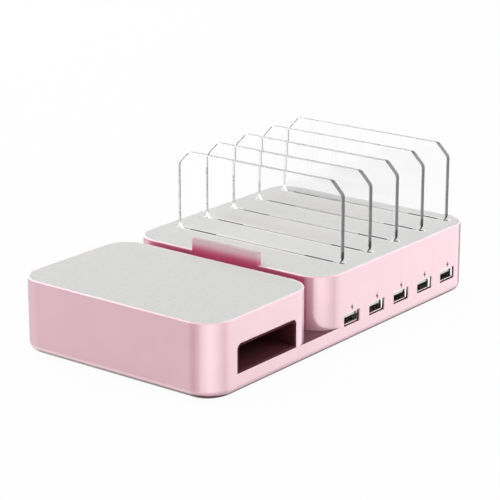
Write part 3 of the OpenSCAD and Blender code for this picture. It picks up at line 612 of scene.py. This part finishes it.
def charging_mark(i):
    """Small bolt printed over socket i. Its outline runs anticlockwise, seen from the side."""
    bolt = np.array([(0.3, 1.9), (-1.2, -0.1), (-0.15, -0.15), (-0.3, -1.9), (1.2, 0.1),
                     (0.15, 0.15)])
    low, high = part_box(f"usb_shell_{i}")
    over = [(low[1] + high[1]) / 2 / MM, (low[2] + high[2]) / 2 / MM + MARK_RISE]
    points, faces = plate(bolt + over, SIDE - PRINT_IN, SIDE + PRINT_OUT, 0.01, 0)[:2]
    piece(f"charging_mark_{i}", points, faces, [MARK], "station")


outline = divider_outline()
for i in DIVIDERS:
    clear_divider(i, outline)
lacquered_shell()
phone_rest()
for i in PORTS:
    socket_shell(i)
for i in PORTS:
    charging_mark(i)


# Stage

def backdrop_material(name, colour, share):
    """White floor: the camera, metal and glass see it almost as pure white, and the rest of
    what it shows is its own lit colour, which keeps the object's shadow."""
    made, tree, output, place = new_material(name)
    dust = add(tree, "ShaderNodeTexNoise", {"Scale": 1 / (4.0 * MM)}, [("Vector", place, "Object")])
    bump = add(tree, "ShaderNodeBump", {"Strength": 1.0, "Distance": 0.02 * MM},
               [("Height", dust, "Fac")])
    white = add(tree, "ShaderNodeEmission", {"Color": linear("FFFFFF"), "Strength": 1.0})
    path = add(tree, "ShaderNodeLightPath")
    seen = add(tree, "ShaderNodeMath", {"operation": "MAXIMUM"},
               [(0, path, "Is Camera Ray"), (1, path, "Is Glossy Ray")])
    seen = add(tree, "ShaderNodeMath", {"operation": "MAXIMUM"},
               [(0, seen, 0), (1, path, "Is Transmission Ray")])
    # Light on its way from a dull surface doesn't see it white, or it would gather too much
    seen = add(tree, "ShaderNodeMath", {"operation": "SUBTRACT", "use_clamp": True},
               [(0, seen, 0), (1, path, "Diffuse Depth")])
    # Distance in metres from a core 16 mm smaller than the footprint all round. Up to 9.5 mm
    # from it, in the shade of the rounded lower edge, the floor shows its plain lit colour
    core = ((SIDE - 16.0) * MM, (REAR - 15.75) * MM, 0.0)
    out = add(tree, "ShaderNodeVectorMath", {"operation": "ABSOLUTE"}, [(0, place, "Object")])
    out = add(tree, "ShaderNodeVectorMath", {"operation": "SUBTRACT", 1: core}, [(0, out, 0)])
    out = add(tree, "ShaderNodeVectorMath", {"operation": "MAXIMUM", 1: (0.0, 0.0, 0.0)},
              [(0, out, 0)])
    out = add(tree, "ShaderNodeVectorMath", {"operation": "LENGTH"}, [(0, out, 0)])
    clear = add(tree, "ShaderNodeMapRange",
                {"interpolation_type": "SMOOTHSTEP", "From Min": 9.5 * MM, "From Max": 10.8 * MM,
                 "To Max": share}, [("Value", out, "Value")])
    part = add(tree, "ShaderNodeMath", {"operation": "MULTIPLY"},
               [(0, seen, 0), (1, clear, "Result")])
    # Painted reflected light: close to the object that colour turns a dark pink, for the
    # wine-coloured light that bounces off it
    near = add(tree, "ShaderNodeMapRange", {"From Min": 12.5 * MM, "From Max": 15.5 * MM},
               [("Value", out, "Value")])
    tone = add(tree, "ShaderNodeMix",
               {"data_type": "RGBA", 6: linear("B47A90"), 7: linear(colour)},
               [(0, near, "Result")])
    lit = add(tree, "ShaderNodeBsdfDiffuse", {}, [("Color", tone, 2), ("Normal", bump, "Normal")])
    mixed = add(tree, "ShaderNodeMixShader", {}, [(0, part, 0), (1, lit, 0), (2, white, 0)])
    tree.links.new(mixed.outputs[0], output.inputs["Surface"])
    return made


def white_floor(reach):
    """Square floor that reaches that many metres each way. Gloss doesn't see it, so that the
    low sheets of the room show in the object's upright walls."""
    mesh = bpy.data.meshes.new("floor")
    mesh.from_pydata([(-reach, -reach, 0), (reach, -reach, 0), (reach, reach, 0),
                      (-reach, reach, 0)], [], [(0, 1, 2, 3)])
    mesh.materials.append(backdrop_material("white seamless floor", "F4F4F4", 0.97))
    floor = bpy.data.objects.new("floor", mesh)
    bpy.context.scene.collection.objects.link(floor)
    floor.visible_glossy = False


def sheet_level(tree, angle, stops):
    """Level of the sheets at an angle in radians. It runs straight between the stops, given as
    (angle in degrees, level), which the ramp holds at angle / 360 + 0.5."""
    turn = add(tree, "ShaderNodeMath",
               {"operation": "MULTIPLY_ADD", 1: 1 / (2 * math.pi), 2: 0.5}, [(0, angle, 0)])
    level = add(tree, "ShaderNodeValToRGB", {}, [("Fac", turn, 0)])
    points = level.color_ramp.elements
    while len(points) < len(stops):
        points.new(0.5)
    for point, (degrees, height) in zip(points, stops):
        point.position = degrees / 360 + 0.5
        point.color = (height, height, height, 1)
    return level


# Gloss sees large white sheets hung round the table, with dark gaps between them. Their level
# by azimuth in degrees, 0 in front of the object and 90 at its socket side, below and above
# the horizon
LOW = [(-180, 0.0), (-150, 0.03), (-100, 0.06), (-60, 0.11), (-38, 0.12), (-18, 0.0),
       (2, 0.125), (22, 0.5), (42, 0.64), (62, 0.58), (82, 0.38), (102, 0.22), (122, 0.36),
       (142, 0.285), (165, 0.24), (180, 0.0)]
HIGH = [(-180, 0.25), (-160, 0.25), (-110, 0.32), (-90, 0.5), (-40, 0.5), (-20, 0.3),
        (20, 0.34), (70, 0.34), (110, 0.2), (130, 0.45), (165, 0.45), (180, 0.25)]
# The sheets are brightest at their lower end, and the table is dark below them: their level by
# elevation in degrees
FALL = [(-90, 0.02), (-76, 0.03), (-60, 0.15), (-47, 0.7), (-38, 1.0), (-29, 0.8), (-22, 0.45),
        (-17, 0.4)]
# Strength of the sheets at full level, of the room that dull surfaces see, and of plain white
SHEETS, ROOM, PLAIN = 24.0, 0.57, 1.0


def studio(name):
    """Room round the object. The camera and the clear plates see it pure white, dull surfaces
    see it dimmer, and gloss sees the sheets: their level by azimuth times that by elevation."""
    world = bpy.data.worlds.new(name)
    # No lamp rays are aimed at the room, which is even to the dull surfaces it lights
    world.cycles.sampling_method = "NONE"
    bpy.context.scene.world = world
    world.use_nodes = True
    tree = world.node_tree
    tree.nodes.clear()
    place = add(tree, "ShaderNodeTexCoord")
    way = add(tree, "ShaderNodeSeparateXYZ", {}, [(0, place, "Object")])
    back = add(tree, "ShaderNodeMath", {"operation": "MULTIPLY", 1: -1.0}, [(0, way, "Y")])
    azimuth = add(tree, "ShaderNodeMath", {"operation": "ARCTAN2"},
                  [(0, way, "X"), (1, back, 0)])
    low = sheet_level(tree, azimuth, LOW)
    high = sheet_level(tree, azimuth, HIGH)
    rise = add(tree, "ShaderNodeMapRange", {"From Min": -0.05, "From Max": 0.1},
               [("Value", way, "Z")])
    sheets = add(tree, "ShaderNodeMix", {"data_type": "RGBA"},
                 [(0, rise, "Result"), (6, low, 0), (7, high, 0)])
    elevation = add(tree, "ShaderNodeMath", {"operation": "ARCSINE"}, [(0, way, "Z")])
    fall = add(tree, "ShaderNodeMath", {"operation": "MULTIPLY", 1: SHEETS},
               [(0, sheet_level(tree, elevation, FALL), 0)])
    # On the socket side they darken instead towards that end, so that a face whose reflections
    # are strong, seen along its length, doesn't go white
    dim = add(tree, "ShaderNodeMapRange",
              {"From Min": -0.6, "From Max": -0.3, "To Min": 3.0, "To Max": 10.5},
              [("Value", way, "Z")])
    most = add(tree, "ShaderNodeMapRange", {"From Min": -0.3, "From Max": 0.3, "To Min": SHEETS},
               [("Value", way, "X"), ("To Max", dim, 0)])
    fall = add(tree, "ShaderNodeMath", {"operation": "MINIMUM"},
               [(0, fall, 0), (1, most, "Result")])
    sheets = add(tree, "ShaderNodeBackground", {}, [("Color", sheets, 2), ("Strength", fall, 0)])
    room = add(tree, "ShaderNodeBackground", {"Color": linear("FFFFFF"), "Strength": ROOM})
    white = add(tree, "ShaderNodeBackground", {"Color": linear("FFFFFF"), "Strength": PLAIN})
    path = add(tree, "ShaderNodeLightPath")
    seen = add(tree, "ShaderNodeMath", {"operation": "MAXIMUM"},
               [(0, path, "Is Camera Ray"), (1, path, "Is Transmission Ray")])
    mixed = add(tree, "ShaderNodeMixShader", {}, [(0, seen, 0), (1, room, 0), (2, white, 0)])
    first = add(tree, "ShaderNodeMath", {"operation": "SUBTRACT", "use_clamp": True},
                [(0, path, "Is Glossy Ray"), (1, path, "Diffuse Depth")])
    mixed = add(tree, "ShaderNodeMixShader", {}, [(0, first, 0), (1, mixed, 0), (2, sheets, 0)])
    add(tree, "ShaderNodeOutputWorld", {}, [("Surface", mixed, 0)])


def softbox(name, azimuth, elevation, power):
    """Square lamp at an azimuth (0 in front of the object, 90 at its socket side) and
    elevation in degrees, 1.5 m away and facing the object."""
    aim, distance, size = Vector((0, 0, 0.03)), 1.5, 0.55
    a, e = math.radians(azimuth), math.radians(elevation)
    back = Vector((math.sin(a) * math.cos(e), -math.cos(a) * math.cos(e), math.sin(e)))
    lamp = bpy.data.lights.new(name, "AREA")
    lamp.size, lamp.energy = size, power
    made = bpy.data.objects.new(name, lamp)
    made.location = aim + back * distance
    made.rotation_euler = back.to_track_quat("Z", "Y").to_euler()
    bpy.context.scene.collection.objects.link(made)


def photograph_camera():
    """Camera at the photograph's angle, from a fit of the object's edges."""
    data = bpy.data.cameras.new("camera")
    data.sensor_width, data.lens = 36.0, 144.205
    data.clip_start, data.clip_end = 0.05, 50.0
    camera = bpy.data.objects.new("camera", data)
    camera.location = (0.6284, -0.8123, 0.3597)
    back = Vector((0.58537, -0.75380, 0.29856))
    camera.rotation_euler = back.to_track_quat("Z", "Y").to_euler()
    bpy.context.scene.collection.objects.link(camera)
    bpy.context.scene.camera = camera


white_floor(6.0)
studio("studio")
softbox("high behind the sockets", 115, 40, 3.7)
softbox("low behind the left", -110, 4, 8.5)
softbox("low in front on the left", -38, 4, 1.8)
softbox("high on the left", -80, 40, 3.7)
photograph_camera()
bpy.context.scene.view_settings.view_transform = "Standard"
